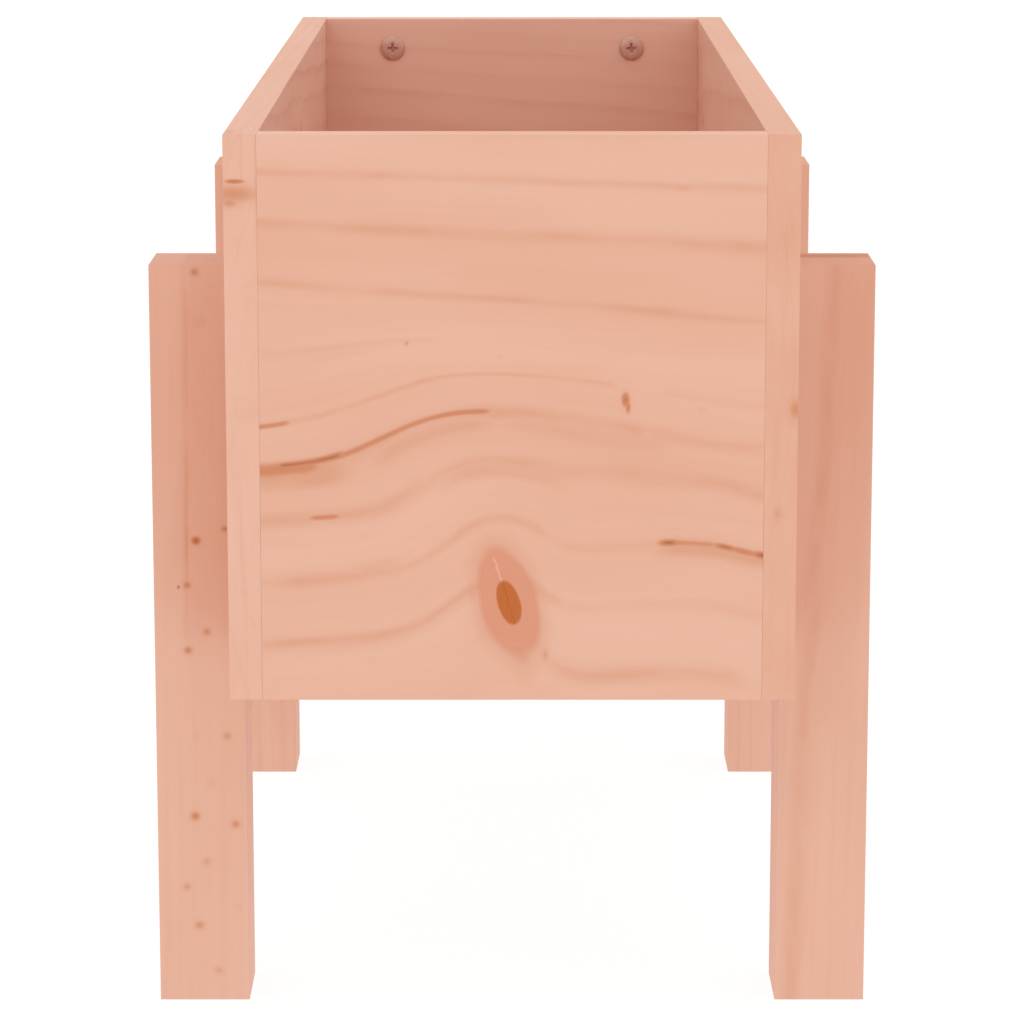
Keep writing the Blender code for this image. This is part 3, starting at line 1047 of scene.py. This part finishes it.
def head_place(name, screw):
    """The middle of a screw's head top, with +Z out of the head, from where the CAD has it."""
    low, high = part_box(name)
    head = (low + high) / 2
    sign = math.copysign(1, head[screw.axis]) * screw.outwards if screw.axis < 2 else 1
    facing = Vector((0, 0, 0))
    facing[screw.axis] = sign
    head[screw.axis] = high[screw.axis] if sign > 0 else low[screw.axis]
    spin = random.Random(name).uniform(0, math.pi) * (UPRIGHT if screw.wide else 1.0)
    turn = facing.to_track_quat("Z", "Y").to_matrix().to_4x4() @ Matrix.Rotation(spin, 4, "Z")
    return Matrix.Translation(head) @ turn


def screw_nodes(nodes):
    """{CAD node: (screw, matrix of its head)} for every screw."""
    found = {}
    for name in nodes:
        for kind, screw in SCREWS.items():
            if name.startswith(kind):
                low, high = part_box(name)
                length = (high[screw.axis] - low[screw.axis]) / MM
                found[name] = (screw._replace(length=length), head_place(name, screw))
    return found


def build_screws(placed):
    """Every screw. Screws of one kind share a mesh."""
    metals = {
        "zinc_screw": metal("zinc_plate", ZINC, 1.0, 0.34),
        "rim_screw_bronze": metal("bronze_coat", BRONZE, 0.25, 0.42),
    }
    meshes = {}
    for name, (screw, place) in placed.items():
        if screw not in meshes:
            piece = link(name + "_driven", screw_mesh(screw))
            cut(piece, recess_mesh(WIDE_RECESS if screw.wide else screw.head * RECESS_SHARE))
            piece.data.materials.clear()
            piece.data.materials.append(metals[screw.slot])
            finish_mesh(piece.data)
            meshes[screw] = piece.data
        else:
            piece = link(name + "_driven", meshes[screw])
        piece.matrix_world = place
        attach(piece, "root")
        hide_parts(name)


# --- putting the timber in place ------------------------------------------------------------------


def slot_of(name):
    """The record's material slot for a piece of timber."""
    if "board" in name:
        return name.split("_board")[0] + "_board_wood"
    return ("leg" if name.startswith("leg") else name.split("_")[1]) + "_wood"


def screws_in(name, placed):
    """The screws that go into this piece of timber."""
    low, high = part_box(name)
    for node, (screw, place) in placed.items():
        near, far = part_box(node)
        if all(min(high[a], far[a]) - max(low[a], near[a]) > CONTACT * MM for a in range(3)):
            yield screw, place


def stains_of(timber, middle, half, screws):
    """Faint dark spots where screw heads have bruised the wood."""
    for screw, place in screws:
        spot = (place.translation - middle) / MM
        local = [spot[axis] for axis in timber.axes]
        if all(abs(p) < h + STAIN_REACH for p, h in zip(local, half)):
            yield Knot(*local, *(screw.head * STAIN_SPREAD,) * 3, 0, 1.0, STAIN)


def build_timber(placed):
    """Every board, post, cleat and slat, with holes for its screws."""
    groups = pine_groups()
    for name, timber in TIMBERS.items():
        low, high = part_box(name)
        middle, size = (low + high) / 2, (high - low) / 2 / MM
        half = [size[axis] for axis in timber.axes]
        if "end_board" in name:
            half[0] += SNUG
        screws = list(screws_in(name, placed))
        data = timber_mesh(name, timber, half)
        data.transform(Matrix.Translation(middle))
        piece = link(name + "_timber", data)
        cut(piece, holes_mesh(screws))
        finish_mesh(piece.data)
        stains = stains_of(timber, middle, half, screws)
        piece.data.materials.clear()
        piece.data.materials.append(pine(name + "_pine", timber, groups, middle, stains))
        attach(piece, "root")
        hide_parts(name)
        slot_of(name)


# --- stage ----------------------------------------------------------------------------------------


def build_stage():
    bpy.ops.mesh.primitive_plane_add(size=FLOOR_SIZE)
    floor = bpy.context.object
    floor.name = "studio_floor"
    material, _, shader = new_material("studio_floor")
    shader.inputs["Base Color"].default_value = (FLOOR_TONE, FLOOR_TONE, FLOOR_TONE, 1)
    shader.inputs["Roughness"].default_value = 0.9
    shader.inputs["Specular IOR Level"].default_value = 0.0
    shader.inputs["Emission Color"].default_value = (1, 1, 1, 1)
    shader.inputs["Emission Strength"].default_value = FLOOR_GLOW
    floor.data.materials.append(material)


def build_light():
    world = bpy.data.worlds.new("studio")
    world.use_nodes = True
    world.node_tree.nodes["Background"].inputs[0].default_value = (1, 1, 1, 1)
    world.node_tree.nodes["Background"].inputs[1].default_value = ROOM
    bpy.context.scene.world = world
    for lamp in LAMPS:
        data = bpy.data.lights.new(lamp.name, "AREA")
        data.shape, data.size, data.energy = "DISK", lamp.size, lamp.power
        place = Vector(lamp.place)
        turn = (Vector(LAMP_AIM) - place).to_track_quat("-Z", "Y").to_matrix().to_4x4()
        link(lamp.name, data, Matrix.Translation(place) @ turn)


def build_camera():
    data = bpy.data.cameras.new("camera")
    data.sensor_width, data.lens = CAMERA_SENSOR, CAMERA_LENS
    turn = Matrix.Rotation(math.radians(90 - CAMERA_DOWN), 4, "X")
    bpy.context.scene.camera = link("camera", data, Matrix.Translation(CAMERA_PLACE) @ turn)


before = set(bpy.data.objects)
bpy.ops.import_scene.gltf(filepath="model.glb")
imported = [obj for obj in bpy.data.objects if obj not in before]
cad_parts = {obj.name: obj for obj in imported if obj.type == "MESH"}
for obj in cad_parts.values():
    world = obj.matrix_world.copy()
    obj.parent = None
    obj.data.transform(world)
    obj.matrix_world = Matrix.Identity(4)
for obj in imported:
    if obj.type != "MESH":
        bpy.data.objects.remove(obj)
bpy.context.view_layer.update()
build_camera()
build_light()
build_stage()
driven = screw_nodes(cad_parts)
build_timber(driven)
build_screws(driven)
bpy.context.scene.view_settings.view_transform = "Standard"
